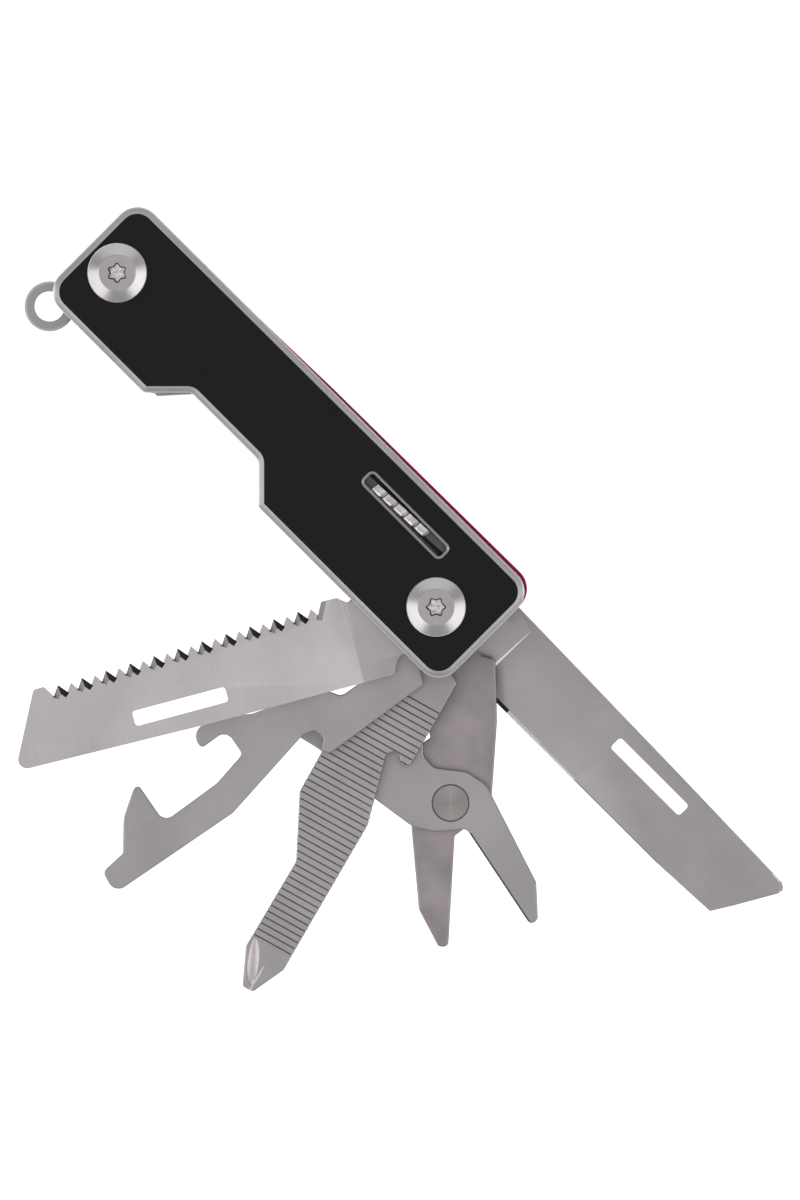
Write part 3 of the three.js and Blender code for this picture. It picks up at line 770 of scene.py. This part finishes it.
SCISSOR_LEVER = [(25.9, 6.2, 3.0), (24.0, 3.4, 2.0), (23.3, -1.2, 1.5), (21.6, -2.7, 1.5),
                 (19.6, -2.6, 0.8), (18.6, -8.0, 6.0), (13.4, -20.6, 2.2), (16.6, -23.2, 2.0),
                 (20.2, -17.6, 6.0), (26.6, -11.0, 8.0), (31.6, -4.6, 3.0), (32.5, -1.4, 3.0),
                 (32.2, 3.2, 0.9), (46.5, 12.15, 0.8), (45.3, 13.1, 0.8), (40.1, 13.0, 1.0)]
z0, z1 = LAYERS["scissor_lever"]
# The bevel along the lever's blade edge is painted black as shade.
piece("scissor_front_half", "scissor_lever", ["scissor_lever"],
      [plain_steel, shade_black, cut_edge_and_shade_steel],
      tool_plate(z0, z1, shape(SCISSOR_LEVER), [disc(*RIVET, RIVET_BORE)], 2), FAN["scissors"],
      cuts=without(bevel([(32.9, 3.6), (46.2, 11.95)], 0.32, 0.9, z1, paint=1),
                   post(*RIVET, 2.72, z0 + 0.4, z1 + 1)), sharp=15)

piece("scissor_pin", "scissors", ["scissor_rivet"], [pin_steel],
      turned([(0, 4.8), (2.35, 4.8), (2.35, 5.3), (1.45, 5.3), (1.45, 6.55), (RIVET_R, 6.55),
              (RIVET_R, 7.2), (RIVET_R - 0.1, 7.3), (0, 7.3)], *RIVET), FAN["scissors"])

LEAF = [(9.4, -3.0, 0.5), (11.6, -3.0, 0.4), (15.4, -5.4, 2.5), (17.6, -8.6, 0.3),
        (18.1, -8.0, 0.3), (16.0, -4.6, 3.2), (11.8, -1.6, 0.5), (9.4, -1.6, 0.5)]
# The spring leaf lies between the rear half that holds it and the lever that it pushes open; it
# rides on neither and stays where it is built.
leaf = piece("scissor_leaf", None, ["scissor_spring"], [spring_steel],
             plate(6.15, 7.15, lambda inset: finely(shape(LEAF)(inset)), (), 0.05), FAN["scissors"])
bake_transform(leaf)

# ---------- slider ----------
RIBS = 5
RIB_PITCH = 2.05


def skewed(solid):
    """The slide sits a little askew in its window."""
    place = Matrix.Translation((-13.3, 6.18, 0)) @ Matrix.Rotation(math.radians(2.4), 4, "Z")
    return [tuple(place @ Vector(v)) for v in solid[0]], solid[1], solid[2]


def ribbed_bar():
    """A row of faceted ribs with a shallow groove between neighbours."""
    low = LAYERS["front_liner"][1] - 0.02
    section, paints = [(-5.1, low), (5.1, low)], [0, 0, 0]
    for k in reversed(range(RIBS)):
        x = (k - (RIBS - 1) / 2) * RIB_PITCH
        section += [(x + 0.96, low + 0.95), (x + 0.6, low + 1.27), (x - 0.1, low + 1.2),
                    (x - 0.5, low + 1.02), (x - 0.93, low + 0.95)]
        paints += [0, 0, 0, 0, 1]
        if k > 0:
            section.append((x - RIB_PITCH / 2, low + 0.8))
            paints.append(1)
    loops = []
    for lean, y, drop in ((-0.12, -0.6, 0.12), (-0.05, -0.3, 0), (0.05, 0.2, 0),
                          (0.12, 0.55, 0.12)):
        loops.append([(x + (lean if z > low else 0), y, max(z - drop, low)) for x, z in section])
    return skewed(skin(loops, paints + [0]))


low, high = LAYERS["front_liner"]
# The wide base under the slide is a sheet painted black as the shadow in the window round the
# slide.
slide_base = plate(low, low + 0.2, shape(box_corners(-21.9, -3.9, 5.45, 7.15, 0.3)), (), 0.04)
slide_face = plate(low + 0.1, high, shape(box_corners(-8.4, 9.2, -0.5, 0.6, 0.2)), (), 0.05)
piece("lock_button", "slider", ["lock_slider"], [shade_black, slide_steel],
      slide_base, cuts=[(painted(skewed(slide_face), 1), "UNION")])
piece("lock_ribs", "slider", [], [rib_steel, plain_steel], ribbed_bar(), sharp=20)

# ---------- lanyard bail ----------
low, high = LAYERS["scissor_lever"]
ex, ey = END_POST
rx, ry = ex + BAIL_RING[0], ey + BAIL_RING[1]
arm = [(ex - 1.9, ey - 1.0), (ex - 4.9, ey - 9.7), (ex - 1.9, ey - 10.7), (ex + 1.2, ey - 2.0)]
piece("bail_loop", "bail", ["lanyard_bail"], [plain_steel],
      plate(low, high, disc(ex, ey, 3.5), (), 0.3),
      cuts=[(plate(low, high, disc(rx, ry, BAIL_R), (), 0.3), "UNION"),
            (plate(low, high, shape(arm), (), 0.3), "UNION"),
            (post(ex, ey, POST_R + 0.15, low - 1, high + 1), "DIFFERENCE"),
            (post(rx, ry, BAIL_HOLE_R, low - 1, high + 1), "DIFFERENCE")])

# ---------- floor, light and camera ----------
scene = bpy.context.scene
scene.view_settings.view_transform = "Standard"

FLOOR_HALF = 6
FLOOR_Z = -0.00005
floor_mesh = bpy.data.meshes.new("floor")
floor_mesh.from_pydata([(FLOOR_HALF * x, FLOOR_HALF * y, FLOOR_Z)
                        for x, y in ((-1, -1), (1, -1), (1, 1), (-1, 1))], [], [(0, 1, 2, 3)])
floor = bpy.data.objects.new("floor", floor_mesh)
scene.collection.objects.link(floor)
paper = bpy.data.materials.new("paper")
paper.use_nodes = True
shader = paper.node_tree.nodes["Principled BSDF"]
shader.inputs["Base Color"].default_value = (0.8, 0.8, 0.8, 1)
shader.inputs["Roughness"].default_value = 0.9
shader.inputs["Specular IOR Level"].default_value = 0.0
shader.inputs["Emission Color"].default_value = (1, 1, 1, 1)
shader.inputs["Emission Strength"].default_value = 0.9
floor_mesh.materials.append(paper)

world = bpy.data.worlds.new("studio")
scene.world = world
world.use_nodes = True
background = world.node_tree.nodes["Background"]
background.inputs["Color"].default_value = (1, 1, 1, 1)
background.inputs["Strength"].default_value = 0.42

STUDIO = 3


def softbox(name, position, size, power):
    """A rectangular lamp aimed at the origin, seen in reflections only. Moving the studio
    walls out by STUDIO times leaves the light on the tool the same but more even."""
    light = bpy.data.lights.new(name, "AREA")
    light.shape = "RECTANGLE"
    light.size, light.size_y = [side * STUDIO for side in size]
    light.energy = power * STUDIO ** 2
    lamp = bpy.data.objects.new(name, light)
    lamp.location = Vector(position) * STUDIO
    lamp.rotation_euler = Vector(position).to_track_quat("Z", "Y").to_euler()
    lamp.visible_camera = False
    scene.collection.objects.link(lamp)


softbox("overhead", (0, 0, 1.0), (0.9, 0.9), 0.45)
softbox("left_strip", (-0.22, -0.63, 1.0), (0.85, 0.36), 1.15)
softbox("right_strip", (0.63, 0.22, 1.0), (0.85, 0.36), 1.15)
softbox("top", (-0.5, 0.5, 1.0), (1.5, 0.4), 0.75)
softbox("left", (-0.75, -0.75, 0.5), (0.5, 0.5), 1.2)
softbox("right", (0.75, 0.75, 0.6), (0.4, 0.4), 0.6)

# A long lens, square to the tool but for a slight tilt, with the tool turned 45 degrees.
# VIEW_TALL is the height of the view at the tool, in millimetres.
VIEW_TALL = 171.5
DISTANCE = 4.0
AIM = Vector((-4.356, -2.94, 16.1)) * MM
TILT = math.radians(2.5)
camera_data = bpy.data.cameras.new("camera")
camera = bpy.data.objects.new("camera", camera_data)
scene.collection.objects.link(camera)
scene.camera = camera
back = Vector((0, math.sin(TILT), math.cos(TILT)))
right = Vector((1, 1, 0)).normalized()
right = (right - back * right.dot(back)).normalized()
up = back.cross(right)
camera.matrix_world = Matrix.LocRotScale(
    AIM + back * DISTANCE, Matrix((right, up, back)).transposed().to_quaternion(), None)
camera_data.sensor_width = 36
camera_data.lens = camera_data.sensor_width * DISTANCE / (VIEW_TALL * MM)
camera_data.clip_start = 0.5
camera_data.clip_end = 50

bpy.context.view_layer.update()
